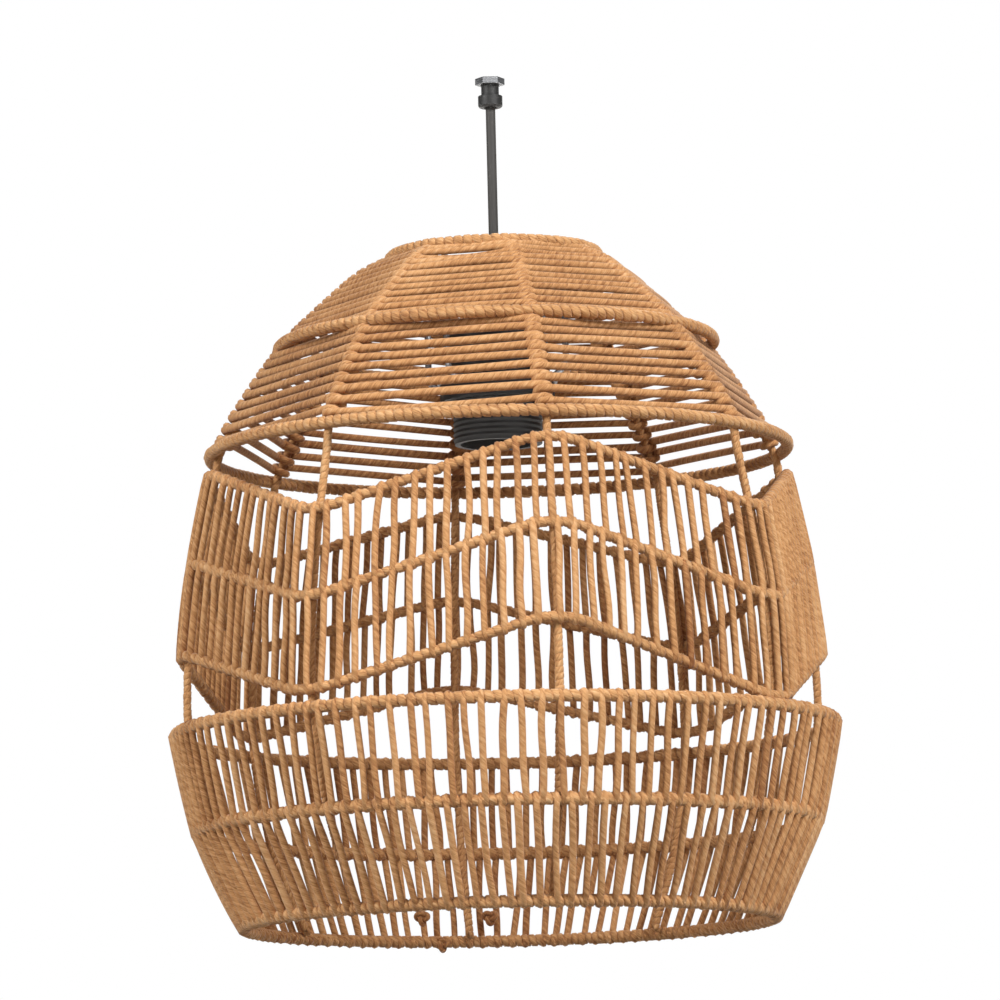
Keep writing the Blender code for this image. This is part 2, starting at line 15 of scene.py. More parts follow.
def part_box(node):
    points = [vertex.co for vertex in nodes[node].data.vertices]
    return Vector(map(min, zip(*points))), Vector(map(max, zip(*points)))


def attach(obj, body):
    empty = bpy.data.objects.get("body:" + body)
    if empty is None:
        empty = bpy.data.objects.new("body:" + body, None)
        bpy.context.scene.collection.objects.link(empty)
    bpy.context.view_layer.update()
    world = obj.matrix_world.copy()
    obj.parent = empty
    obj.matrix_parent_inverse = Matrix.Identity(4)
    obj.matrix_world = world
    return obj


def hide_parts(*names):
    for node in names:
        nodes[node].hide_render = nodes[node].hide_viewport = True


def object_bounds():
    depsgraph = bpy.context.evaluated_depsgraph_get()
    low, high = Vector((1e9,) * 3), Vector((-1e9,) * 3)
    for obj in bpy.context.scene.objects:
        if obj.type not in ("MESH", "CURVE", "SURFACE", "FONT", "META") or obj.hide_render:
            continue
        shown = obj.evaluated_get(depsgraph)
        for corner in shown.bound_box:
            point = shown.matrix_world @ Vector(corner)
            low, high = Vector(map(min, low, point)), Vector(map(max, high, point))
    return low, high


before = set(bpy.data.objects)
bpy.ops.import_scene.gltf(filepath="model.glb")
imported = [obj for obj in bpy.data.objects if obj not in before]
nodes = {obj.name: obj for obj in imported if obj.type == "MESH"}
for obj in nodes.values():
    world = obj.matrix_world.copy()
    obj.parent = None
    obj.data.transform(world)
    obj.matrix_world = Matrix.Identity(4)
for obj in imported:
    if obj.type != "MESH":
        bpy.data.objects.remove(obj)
cad_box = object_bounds()
MM = 0.001

# %% [markdown]
# ## Camera
# The shade is seen from about three metres away and from well below its rim, with a long lens.
# The shade hangs a little askew, which a small roll of the camera gives without moving a part.

# %% Place the camera
BOTTOM = sum(p.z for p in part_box("band_bottom_ring")) / 2  # plane of the bottom ring
EYE = Vector((-0.104, -3.02, BOTTOM - 0.225))  # metres: a little to the left and below the rim
AIM = Vector((0.0, 0.0, (cad_box[0].z + cad_box[1].z) / 2))
ROLL = math.radians(-1.4)
LENS = 245.0  # millimetres, on a sensor 36 mm wide

camera = bpy.data.objects.new("camera", bpy.data.cameras.new("camera"))
bpy.context.scene.collection.objects.link(camera)
camera.location = EYE
camera.rotation_mode = "QUATERNION"
camera.rotation_quaternion = (AIM - EYE).to_track_quat("-Z", "Y") @ Quaternion((0, 0, 1), ROLL)
camera.data.sensor_width = 36.0
camera.data.lens = LENS
camera.data.clip_end = 100.0
bpy.context.scene.camera = camera
print("distance to the shade:", round((AIM - EYE).length, 2), "m")

# %% [markdown]
# ## Node helpers
# Every finish is a small tree of shader nodes. One function adds a node with its settings and
# its links, so a material reads as a list of steps. Colours are written as sRGB hex values, the
# way a paint chart gives them, and turned to the linear values that the shader expects.


# %% Define the node and colour helpers
def linear(hex_value, alpha=1.0):
    """sRGB hex to linear RGBA: each channel below 0.04045 is divided by 12.92, and the rest is
    ((c + 0.055) / 1.055) to the power 2.4."""
    channels = np.array([int(hex_value[i : i + 2], 16) for i in (1, 3, 5)]) / 255
    low = channels / 12.92
    high = ((channels + 0.055) / 1.055) ** 2.4
    return (*np.where(channels <= 0.04045, low, high).tolist(), alpha)


def add_node(tree, kind, settings=None, **inputs):
    """A node of a kind, with its properties set and each input given a value or a socket. Inputs
    are named by their socket's name, or by in0, in1 where names repeat."""
    node = tree.nodes.new(kind)
    for name, value in (settings or {}).items():
        setattr(node, name, value)
    for name, value in inputs.items():
        key = int(name[2:]) if name[:2] == "in" and name[2:].isdigit() else name.replace("_", " ")
        socket = node.inputs[key]
        if isinstance(value, bpy.types.NodeSocket):
            tree.links.new(value, socket)
        else:
            socket.default_value = value
    return node


def new_finish(name):
    """An empty material with a Principled shader; returns the material, its tree and shader."""
    material = bpy.data.materials.new(name)
    material.use_nodes = True
    return material, material.node_tree, material.node_tree.nodes["Principled BSDF"]


print("paper colour in linear light:", [round(c, 3) for c in linear("#C79A6B")])

# %% [markdown]
# ## Twisted kraft paper rope
# Paper rope is a strip of kraft paper twisted hard into a cord about 3 mm thick. It is matt and
# dry. Its surface shows slanting folds that go once round in 8 mm, fine wrinkles along those folds
# and slow changes of tone from rope to rope. An image could be wrapped round each rope, but folds
# are easier to draw as a formula. They have to follow the rope, so each rope surface carries its
# own UV map: U counts turns round the rope and V is metres along it. The valleys of the folds and
# wrinkles are painted a little darker, which is painted shade in the creases. The side of each rope
# that faces the shade's axis is painted darker too, as painted shade for the inside of the shade,
# which the weave keeps from the light.


# %% Mix the paper rope
PAINTED_INSIDE_SHADE = 0.12  # painted shade: how far the side that faces the shade's axis moves down the scale of tones
LAY = 8.0  # millimetres along the rope in which a fold goes once round
FOLDS = 2  # folds seen side by side in one lay
NOISE_UNIT = 7.0  # millimetres along the rope in a unit of noise; across it a unit is its radius
PATCH = 40.0  # width of a patch of slightly other tone, in millimetres
FOLD_DEPTH = 0.35 * MM  # height of the folds and wrinkles that the bump map draws


def paper_rope(name, shade_hex, body_hex, light_hex, relief):
    """Matt paper. The folds are a sine of U plus V over the lay, and the wrinkles are noise read
    on a circle of that same angle, so that it closes round the rope without a seam."""
    material, tree, shader = new_finish(name)
    uv = add_node(tree, "ShaderNodeUVMap", {"uv_map": "Rope"})
    split = add_node(tree, "ShaderNodeSeparateXYZ", Vector=uv.outputs["UV"])
    length = add_node(
        tree, "ShaderNodeMath", {"operation": "MULTIPLY"}, in0=split.outputs["Y"], in1=1000.0
    )
    turns = add_node(
        tree, "ShaderNodeMath", {"operation": "DIVIDE"}, in0=length.outputs[0], in1=LAY
    )
    helix = add_node(
        tree,
        "ShaderNodeMath",
        {"operation": "ADD"},
        in0=split.outputs["X"],
        in1=turns.outputs[0],
    )
    angle = add_node(
        tree, "ShaderNodeMath", {"operation": "MULTIPLY"}, in0=helix.outputs[0], in1=2 * math.pi
    )
    across = add_node(tree, "ShaderNodeMath", {"operation": "COSINE"}, in0=angle.outputs[0])
    beside = add_node(tree, "ShaderNodeMath", {"operation": "SINE"}, in0=angle.outputs[0])
    # The angle changes fast across a wrinkle and the length slowly along it
    along = add_node(
        tree, "ShaderNodeMath", {"operation": "DIVIDE"}, in0=length.outputs[0], in1=NOISE_UNIT
    )
    place = add_node(
        tree,
        "ShaderNodeCombineXYZ",
        X=across.outputs[0],
        Y=beside.outputs[0],
        Z=along.outputs[0],
    )
    wrinkle = add_node(
        tree,
        "ShaderNodeTexNoise",
        Vector=place.outputs[0],
        Scale=2.6,
        Detail=3.0,
        Roughness=0.6,
    )
    # Fibre flecks have the proportions of the wrinkles and under a third of their size
    fleck = add_node(
        tree,
        "ShaderNodeTexNoise",
        Vector=place.outputs[0],
        Scale=9.0,
        Detail=2.0,
        Roughness=0.55,
    )
    fold_angle = add_node(
        tree, "ShaderNodeMath", {"operation": "MULTIPLY"}, in0=angle.outputs[0], in1=float(FOLDS)
    )
    fold = add_node(tree, "ShaderNodeMath", {"operation": "SINE"}, in0=fold_angle.outputs[0])
    # Slow change of tone over the shade
    where = add_node(tree, "ShaderNodeTexCoord")
    patch = add_node(
        tree,
        "ShaderNodeTexNoise",
        Vector=where.outputs["Object"],
        Scale=1000.0 / PATCH,
        Detail=2.0,
        Roughness=0.5,
    )
    # The tone attribute holds each rope's own tone, with the painted shade of its inward side
    # already taken off
    tone = add_node(tree, "ShaderNodeAttribute", {"attribute_name": "tone"})
    # The colour follows the fold and the wrinkles, which also give the bump below, so the valleys of
    # the relief are darker: painted shade in the creases, on top of the paper's own mottle
    folded = add_node(
        tree,
        "ShaderNodeMath",
        {"operation": "MULTIPLY_ADD"},
        in0=fold.outputs[0],
        in1=0.05,
        in2=wrinkle.outputs["Fac"],
    )
    patched = add_node(
        tree,
        "ShaderNodeMath",
        {"operation": "MULTIPLY_ADD"},
        in0=patch.outputs["Fac"],
        in1=0.35,
        in2=folded.outputs[0],
    )
    toned = add_node(
        tree,
        "ShaderNodeMath",
        {"operation": "ADD"},
        in0=patched.outputs[0],
        in1=tone.outputs["Fac"],
    )
    ramp = add_node(tree, "ShaderNodeValToRGB", Fac=toned.outputs[0])
    ramp.color_ramp.elements[0].position = 0.40
    ramp.color_ramp.elements[0].color = linear(shade_hex)
    ramp.color_ramp.elements[1].position = 1.0
    ramp.color_ramp.elements[1].color = linear(light_hex)
    middle = ramp.color_ramp.elements.new(0.70)
    middle.color = linear(body_hex)
    speckle = add_node(
        tree,
        "ShaderNodeMapRange",
        Value=fleck.outputs["Fac"],
        From_Min=0.3,
        From_Max=0.7,
        To_Min=0.90,
        To_Max=1.06,
    )
    coloured = add_node(
        tree,
        "ShaderNodeMix",
        {"data_type": "RGBA", "blend_type": "MULTIPLY"},
        in0=1.0,
        in6=ramp.outputs["Color"],
        in7=speckle.outputs["Result"],
    )
    tree.links.new(coloured.outputs[2], shader.inputs["Base Color"])
    height = add_node(
        tree,
        "ShaderNodeMath",
        {"operation": "MULTIPLY_ADD"},
        in0=fold.outputs[0],
        in1=0.30,
        in2=wrinkle.outputs["Fac"],
    )
    bump = add_node(
        tree,
        "ShaderNodeBump",
        Strength=relief,
        Distance=FOLD_DEPTH,
        Height=height.outputs[0],
    )
    tree.links.new(bump.outputs["Normal"], shader.inputs["Normal"])
    dry = add_node(
        tree,
        "ShaderNodeMapRange",
        Value=fleck.outputs["Fac"],
        To_Min=0.70,
        To_Max=0.92,
    )
    tree.links.new(dry.outputs["Result"], shader.inputs["Roughness"])
    shader.inputs["IOR"].default_value = 1.5
    shader.inputs["Specular IOR Level"].default_value = 0.3
    shader.inputs["Sheen Weight"].default_value = 0.12
    shader.inputs["Sheen Roughness"].default_value = 0.5
    return material


STRUNG_ROPE = paper_rope("strung_kraft_paper_rope", "#86532C", "#C5905C", "#E0B586", 0.55)
WOUND_ROPE = paper_rope("wound_kraft_paper_rope", "#8A5730", "#C79460", "#E2B889", 0.45)
print("rope folds every", LAY / FOLDS, "mm")

# %% [markdown]
# ## Rope surfaces
# A rope is a small ellipse carried along a path. Many ropes make one piece, so a whole tier is
# computed as one array: strips, points along, points round. A reference direction that the path
# never follows keeps the ellipse from turning over.


# %% Define the surface builder
def write_mesh(name, points, uv, tone, ring, body, replaced, finish):
    """Turns an array of strips x rows x columns x 3 into one mesh piece. Columns close round the
    rope. Rows close too where ring is true, and are capped by flat ends where it isn't. uv has
    one more column than points, and one more row where the rows close, so that no face folds the
    map back. tone is one number for each strip."""
    strips, rows, columns = points.shape[:3]
    index = np.arange(strips * rows * columns, dtype=np.int32).reshape(strips, rows, columns)
    low = index if ring else index[:, :-1]
    high = np.roll(index, -1, axis=1) if ring else index[:, 1:]
    quads = np.stack([low, np.roll(low, -1, 2), np.roll(high, -1, 2), high], axis=-1)
    maps = np.stack([uv[:, :-1, :-1], uv[:, :-1, 1:], uv[:, 1:, 1:], uv[:, 1:, :-1]], axis=-2)
    flat = points.reshape(-1, 3)
    middle = points.mean(axis=2, keepdims=True)
    corner, beside, above = (flat[quads[..., k]] for k in (0, 1, 3))
    facing = (np.cross(beside - corner, above - corner) * (corner - middle[:, : low.shape[1]])).sum()
    loops = [quads.reshape(-1)]
    loop_maps = [maps.reshape(-1, 2)]
    counts = [np.full(quads.size // 4, 4, dtype=np.int32)]
    if not ring:
        for row, backwards in ((0, True), (rows - 1, False)):
            cap = index[:, row, ::-1] if backwards else index[:, row]
            loops.append(cap.reshape(-1))
            loop_maps.append(np.repeat(uv[:, row, 0], columns, axis=0))
            counts.append(np.full(strips, columns, dtype=np.int32))
    loops = np.concatenate(loops).astype(np.int32)
    loop_maps = np.concatenate(loop_maps)
    counts = np.concatenate(counts)
    starts = np.concatenate([[0], np.cumsum(counts)[:-1]]).astype(np.int32)
    mesh = bpy.data.meshes.new(name)
    mesh.vertices.add(len(flat))
    mesh.vertices.foreach_set("co", flat.astype(np.float32).ravel())
    mesh.loops.add(len(loops))
    mesh.loops.foreach_set("vertex_index", loops)
    mesh.polygons.add(len(counts))
    mesh.polygons.foreach_set("loop_start", starts)
    mesh.uv_layers.new(name="Rope").data.foreach_set("uv", loop_maps.astype(np.float32).ravel())
    # Painted shade: the side of a rope that faces the shade's axis is darkened, standing for the
    # inside of the shade that the weave keeps from the light
    inward = -(unit(points - middle) * away_from_axis(points)).sum(-1)
    tones = np.asarray(tone)[:, None, None] - PAINTED_INSIDE_SHADE * np.clip(inward + 0.2, 0, 1)
    tones = np.broadcast_to(tones, points.shape[:3]).astype(np.float32).ravel()
    mesh.attributes.new("tone", "FLOAT", "POINT").data.foreach_set("value", tones)
    mesh.update(calc_edges=True)
    mesh.polygons.foreach_set("use_smooth", np.ones(len(counts), dtype=bool))
    if facing < 0:
        mesh.flip_normals()
    finish_piece(name, mesh, body, replaced, finish)


def finish_piece(name, mesh, body, replaced, finish):
    """Puts a mesh in the scene as a piece that rides on a body and stands for CAD nodes."""
    mesh.materials.append(finish)
    piece = bpy.data.objects.new(name, mesh)
    bpy.context.scene.collection.objects.link(piece)
    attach(piece, body)
    if replaced:
        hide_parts(*replaced)
    print(f"{name}: {len(mesh.polygons)} faces")
    return piece


def unit(vectors):
    """Vectors divided by their lengths."""
    return vectors / np.linalg.norm(vectors, axis=-1, keepdims=True)


def away_from_axis(path):
    """Level directions from the shade's axis to each point."""
    return unit(path * np.array([1.0, 1.0, 0.0]))


def tangents(path, ring):
    """Directions along paths of shape strips x rows x 3."""
    if ring:
        return unit(np.roll(path, -1, axis=1) - np.roll(path, 1, axis=1))
    return unit(np.gradient(path, axis=1))


def carry_ellipse(path, reference, wide, thick, columns, ring=False):
    """Carries an ellipse along paths. With the tangent t, b = t x reference and a = b x t, a
    point of the surface is path + wide cos(angle) a + thick sin(angle) b."""
    tangent = tangents(path, ring)
    across = unit(np.cross(tangent, reference))
    along = np.cross(across, tangent)
    angle = (2 * np.pi * np.arange(columns) / columns)[None, None, :, None]
    wide, thick = (np.broadcast_to(x, path.shape[:2])[:, :, None, None] for x in (wide, thick))
    spoke = wide * np.cos(angle) * along[:, :, None] + thick * np.sin(angle) * across[:, :, None]
    return path[:, :, None] + spoke


def rope_map(path, columns, ring):
    """UV of ropes: U is the share of a turn round the rope and V the metres along its path. Each
    strip starts at a random place of the pattern."""
    if ring:
        path = np.concatenate([path, path[:, :1]], axis=1)
    steps = np.linalg.norm(np.diff(path, axis=1), axis=-1)
    length = np.concatenate([np.zeros((len(path), 1)), np.cumsum(steps, axis=1)], axis=1)
    start = rng.random((2, len(path), 1, 1))
    u = np.arange(columns + 1)[None, None] / columns + start[0]
    return np.stack(np.broadcast_arrays(u, length[:, :, None] + start[1]), axis=-1)


rng = np.random.default_rng(7)
print("random draws start from a fixed seed")

# %% [markdown]
# ## The shade's outline
# All wires and ropes lie on one surface: an egg with eight flat sides in its upper two thirds
# and a round band below. The frame gives each wire's box, but ropes also need the places between
# the wires. So the outline is a smooth curve through the wires, with two more points that make
# the cap a dome. Straight lines would be simpler, but they would put a corner at every ring.

# %% Compute the outline
# Heights of the wires over the bottom ring, in metres
BAND_MIDDLE, BAND_TOP = 0.042, 0.085
ZIGZAG_LOWER, ZIGZAG_MIDDLE, ZIGZAG_UPPER = 0.106, 0.147, 0.186
CAP_LOWER, CAP_MIDDLE, TOP = 0.2105, 0.259, 0.2995

OUTLINE = np.array(  # radius and height
    [
        (0.1185, 0.0),
        (0.138, BAND_MIDDLE),
        (0.147, BAND_TOP),
        (0.1475, ZIGZAG_LOWER),
        (0.1438, ZIGZAG_MIDDLE),
        (0.1362, ZIGZAG_UPPER),
        (0.1294, CAP_LOWER),
        (0.0976, CAP_MIDDLE),
        (0.0763, 0.2798),
        (0.0600, 0.2930),
        (0.0465, TOP),
    ]
)
RIBS = 8
FIRST_RIB = math.radians(-82.5)  # the one nearest the front, a little to the right
BACK_RIB = FIRST_RIB + math.pi  # closed ropes start here, so that the join is behind
STRANDS = 112  # upright ropes in each tier
ROPE = 1.58 * MM  # radius of the strung rope


def smooth_outline(knots, steps=40):
    """Centripetal Catmull-Rom curve: each span is a blend of blends of its four neighbours, with
    parameters spaced by the square root of the distances."""
    ends = [2 * knots[0] - knots[1]], [2 * knots[-1] - knots[-2]]
    p = np.concatenate([ends[0], knots, ends[1]])
    t = np.concatenate([[0], np.cumsum(np.linalg.norm(np.diff(p, axis=0), axis=1) ** 0.5)])
    spans = []
    for i in range(1, len(p) - 2):
        s = np.linspace(t[i], t[i + 1], steps, endpoint=False)[:, None]

        def between(a, b, start, end, s=s):
            return a + (b - a) * (s - start) / (end - start)

        ab = between(p[i - 1], p[i], t[i - 1], t[i])
        bc = between(p[i], p[i + 1], t[i], t[i + 1])
        cd = between(p[i + 1], p[i + 2], t[i + 1], t[i + 2])
        left = between(ab, bc, t[i - 1], t[i + 1])
        right = between(bc, cd, t[i], t[i + 2])
        spans.append(between(left, right, t[i], t[i + 1]))
    return np.concatenate([*spans, knots[-1:]])


CURVE = smooth_outline(OUTLINE)
CURVE_SLOPE = unit(np.gradient(CURVE, axis=0))
CURVE_LENGTH = np.concatenate([[0], np.cumsum(np.linalg.norm(np.diff(CURVE, axis=0), axis=1))])


def on_outline(height, depth=0.0):
    """Radius and height of points a depth inside the outline, square to it."""
    height = np.asarray(height, dtype=float)
    radius = np.interp(height, CURVE[:, 1], CURVE[:, 0])
    run = np.interp(height, CURVE[:, 1], CURVE_SLOPE[:, 0])
    rise = np.interp(height, CURVE[:, 1], CURVE_SLOPE[:, 1])
    return radius - rise * depth, height + run * depth


def slope_at(height, angle):
    """Direction up along the outline, at a height and an angle round the axis."""
    run = np.interp(height, CURVE[:, 1], CURVE_SLOPE[:, 0])
    rise = np.interp(height, CURVE[:, 1], CURVE_SLOPE[:, 1])
    return np.stack(
        np.broadcast_arrays(run * np.cos(angle), run * np.sin(angle), rise), axis=-1
    )


def turn_to(radius, angle, height):
    """Cylinder coordinates to a point, lowered from the bottom ring's plane to the frame."""
    radius, angle, height = np.broadcast_arrays(radius, angle, height)
    return np.stack([radius * np.cos(angle), radius * np.sin(angle), height + BOTTOM], axis=-1)


print("outline", round(CURVE_LENGTH[-1] * 1000), "mm long from the bottom ring to the top ring")

# %% [markdown]
# ## Wound wires
# Six round rings and three zigzag wires are steel wire with the same rope wound tightly round
# it. Wound rope is pulled flat, so that two turns fill the space from one upright strand to the
# next. The winding is a true coil: a flattened rope that circles the wire once a turn.


# %% Define the winding
TURN_STEPS = 10  # points along the rope in each turn
WOUND_SIDES = 6  # points round the flattened rope
OVERLAP = 0.56  # half width of the flattened rope, as a share of the pitch
DRIFT = 0.07  # how far a turn strays along the wire, as a share of the pitch
LIFT = 0.09 * MM  # how far a turn strays from the wire


def read_path(path, place):
    """A closed path's point at a fractional place, between its two nearest points."""
    low = np.floor(place).astype(int)
    share = (place - low)[:, None]
    return path[low % len(path)] * (1 - share) + path[(low + 1) % len(path)] * share


def coil_round(name, wire, outward, turns, wound, rope, pitch, ring, replaced):
    """Winds rope round a wire. At the share s of its length the rope's middle is at
    wire(s) + r (cos a n + sin a b), with a = 2 pi turns s + pi, n square to the wire and outward,
    and b square to both. wound is the radius outside the rope and rope is half its flattened
    thickness, so r = wound - rope. r and the spacing of the turns wander a little."""
    count = turns * TURN_STEPS
    place = np.arange(count + (0 if ring else 1))
    wander = np.interp(
        place, np.linspace(0, count, turns + 1), np.append(rng.normal(0, 1, turns), 0)
    )
    inner = (TURN_STEPS < place) & (place < count - TURN_STEPS)  # the ends keep their places
    drift = wander * DRIFT * TURN_STEPS * inner
    share = (place + drift) / count * (len(wire) - (0 if ring else 1))
    share = share if ring else np.clip(share, 0, len(wire) - 1.001)  # short of the last point
    middle = read_path(wire, share)
    along = tangents(middle[None], ring)[0]
    normal = read_path(outward, share)
    beside = unit(np.cross(along, normal))
    normal = np.cross(beside, along)
    angle = (2 * np.pi * (place / TURN_STEPS + 0.5))[:, None]
    reach = (wound - rope + LIFT * np.roll(wander, TURN_STEPS // 2))[:, None]
    path = (middle + reach * (np.cos(angle) * normal + np.sin(angle) * beside))[None]
    points = carry_ellipse(path, along[None], pitch * OVERLAP, rope, WOUND_SIDES, ring)
    uv = rope_map(path, WOUND_SIDES, ring)
    write_mesh(name, points, uv, [0.0], ring, "shade", replaced, WOUND_ROPE)


print("a turn is drawn with", TURN_STEPS, "points")

# %% [markdown]
# The six rings are level circles. Their windings have as many turns as they need to lie side by
# side, and those of the band have two turns to each upright strand.

# %% Wind the rings
RING_RADIUS = 3.0 * MM
WINDING = 1.15 * MM  # half the thickness of rope that is pulled flat round a ring
RING_STEPS = 1040  # points along a ring's wire


def round_path(height, count):
    """A level circle on the outline, from the back rib round."""
    radius, level = on_outline(height)
    return turn_to(radius, BACK_RIB + 2 * np.pi * np.arange(count) / count, level)


ring_plan = (
    ("band_bottom_ring", 0.0, 2 * STRANDS),
    ("band_middle_ring", BAND_MIDDLE, 2 * STRANDS),
    ("band_top_ring", BAND_TOP, 2 * STRANDS),
    ("cap_lower_ring", CAP_LOWER, 196),
    ("cap_middle_ring", CAP_MIDDLE, 148),
    ("top_ring", TOP, 70),
)
wires = {}
for node, level, turns in ring_plan:
    wire = round_path(level, RING_STEPS)
    wires[node] = wire
    pitch = 2 * np.pi * np.hypot(wire[0, 0], wire[0, 1]) / turns
    coil_round(
        f"{node}_winding",
        wire,
        away_from_axis(wire),
        turns,
        RING_RADIUS,
        WINDING,
        pitch,
        True,
        [node],
    )

# %% [markdown]
# The zigzag wires run straight from a peak on one rib to a valley on the next, and their peaks
# are bent over a round former, so the corners are eased. Bent by hand, no two corners are quite
# at the same level.

# %% Wind the zigzags
ZIGZAG_RADIUS = 2.5 * MM
ZIGZAG_WINDING = 1.05 * MM
ZIGZAG_PROUD = 0.5 * MM  # how far the corners stand out from the outline
SWING = 0.0153  # height of a peak or a valley from its zigzag's middle, in metres
BY_HAND = {  # how far each corner has strayed from its level, from the back rib round, in mm
    "zigzag_lower": (0.0, 1.5, 0.0, 0.5, 0.0, -3.8, 0.0, 2.0),
    "zigzag_middle": (0.0, 1.0, -0.5, 0.3, 0.5, -0.6, 0.4, 1.0),
    "zigzag_upper": (0.0, 0.6, 0.4, -0.4, -0.6, 0.8, 0.3, 0.5),
}


def zigzag_path(level, strays, per_side=130, ease=17):
    """Straight runs between corners that lie by turns above and below a level. A point a share s
    along a side is (1 - s) of the corner it left and s of the next one, and a running mean of
    2 ease + 1 points rounds the corners."""
    swing = np.where(np.arange(RIBS) % 2 == 0, SWING, -SWING)
    radius, height = on_outline(level + swing + np.array(strays) * MM, -ZIGZAG_PROUD)
    corners = turn_to(radius, BACK_RIB + 2 * np.pi * np.arange(RIBS) / RIBS, height)
    share = (np.arange(per_side) / per_side)[None, :, None]
    following = np.roll(corners, -1, axis=0)
    path = (corners[:, None] * (1 - share) + following[:, None] * share).reshape(-1, 3)
    return sum(np.roll(path, k, axis=0) for k in range(-ease, ease + 1)) / (2 * ease + 1)


zigzags = (
    ("zigzag_lower", ZIGZAG_LOWER),
    ("zigzag_middle", ZIGZAG_MIDDLE),
    ("zigzag_upper", ZIGZAG_UPPER),
)
for node, level in zigzags:
    wire = zigzag_path(level, BY_HAND[node])
    wires[node] = wire
    pitch = np.linalg.norm(np.diff(wire, axis=0), axis=1).sum() / (2 * STRANDS)
    coil_round(
        f"{node}_winding",
        wire,
        away_from_axis(wire),
        2 * STRANDS,
        ZIGZAG_RADIUS,
        ZIGZAG_WINDING,
        pitch,
        True,
        [node],
    )

# %% [markdown]
# ## Upright strands
# Between two wires the rope is strung straight up and down, 112 times round. It runs over the
# outside of the wires and hooks round them, so the weave is flush with the windings. No two
# strands are quite parallel: each end has slipped along its wire by a millimetre or two, and each
# strand bows a little. In the lowest tier all of them lean by a third of their spacing.


# %% String the upright tiers
HOOK = np.radians([170, 135, 100, 65, 32])  # angles round the wire, from its inside to its outside
STRAND_SIDES = 8
END_SLIP = 0.08  # how far each end strays along its wire, as a share of the spacing
WHOLE_SLIP = 0.07  # how far a whole strand strays
BOW, RIPPLE, SETTLE = 0.42 * MM, 0.25 * MM, 0.25 * MM  # spread of each bend along a strand
STRAND_TONE, STRAND_THICK = 0.05, 0.04  # spread of tone, and of thickness as a share


def string_tier(name, top_node, bottom_node, proud, twist, replaced):
    """Strands from one closed wire to another, whose upper ends are twist spacings further back.
    A strand circles the upper wire from inside to outside and the lower wire back to the inside.
    Between them it runs straight, with a sideways bow of sin(pi s), a sideways ripple of
    sin(2 pi s) and a settling of sin(pi s) toward the axis."""
    slip = rng.normal(0, END_SLIP, (2, STRANDS)) + rng.normal(0, WHOLE_SLIP, STRANDS)
    slip = slip - np.array([[twist], [0.0]])
    ends = [
        read_path(wires[node], (np.arange(STRANDS) + slip[k]) * len(wires[node]) / STRANDS)
        for k, node in enumerate((top_node, bottom_node))
    ]
    outward = away_from_axis(ends[0] + ends[1])[:, None]
    upward = unit(ends[0] - ends[1])[:, None]
    square = unit(outward - upward * (outward * upward).sum(-1, keepdims=True))
    sideways = np.cross(upward, square)
    s = np.linspace(0.0, 1.0, 9)[None, 1:-1, None]
    run = ends[0][:, None] * (1 - s) + ends[1][:, None] * s + square * proud
    bow, ripple, settle = rng.normal(0, 1, (3, STRANDS, 1, 1))
    bend = BOW * bow * np.sin(np.pi * s) + RIPPLE * ripple * np.sin(2 * np.pi * s)
    run = run + sideways * bend - square * SETTLE * settle * np.sin(np.pi * s)
    angle = HOOK[None, :, None]
    over = ends[0][:, None] + proud * (np.cos(angle) * square + np.sin(angle) * upward)
    under = ends[1][:, None] + proud * (np.cos(angle) * square - np.sin(angle) * upward)
    path = np.concatenate([over, run, under[:, ::-1]], axis=1)
    thick = ROPE * (1 + rng.normal(0, STRAND_THICK, (STRANDS, 1)))
    points = carry_ellipse(path, sideways, thick, thick, STRAND_SIDES)
    tone = rng.normal(0, STRAND_TONE, STRANDS)
    uv = rope_map(path, STRAND_SIDES, False)
    write_mesh(name, points, uv, tone, False, "shade", replaced, STRUNG_ROPE)


BAND_PROUD = 1.8 * MM  # how far a strand's middle stands out from its wires' middles
MIDDLE_PROUD = 1.5 * MM
tiers = (
    ("band_lower", "band_middle_ring", "band_bottom_ring", BAND_PROUD, 0.35),
    ("band_upper", "band_top_ring", "band_middle_ring", BAND_PROUD, 0.0),
    ("middle_lower", "zigzag_middle", "zigzag_lower", MIDDLE_PROUD, 0.0),
    ("middle_upper", "zigzag_upper", "zigzag_middle", MIDDLE_PROUD, 0.0),
)
for tier, top_node, bottom_node, proud, twist in tiers:
    string_tier(f"{tier}_strands", top_node, bottom_node, proud, twist, [f"{tier}_weave"])

# %% [markdown]
# ## Rows of the cap
# In the cap the rope runs level from rib to rib and takes one turn round each, so that the ribs
# look like ladders of turns. The flat sides come from the straight runs. Rows sag and crowd a
# little, differently on each side, which is where light shows through.


# %% Lay the rows
RIB_DEPTH = 3.3 * MM  # a rib's middle below the outline, where rows go round it
LOOP = 3.1 * MM  # radius of the turn that a row takes round a rib
LOOP_RISE = 2.1 * MM  # how far the turn climbs along the rib
ROW_SLIP = 0.15 * MM  # how far a row strays at each rib
SAG = 0.34 * MM  # how far a row strays between two ribs
ROW_TONE, ROW_THICK = 0.03, 0.03


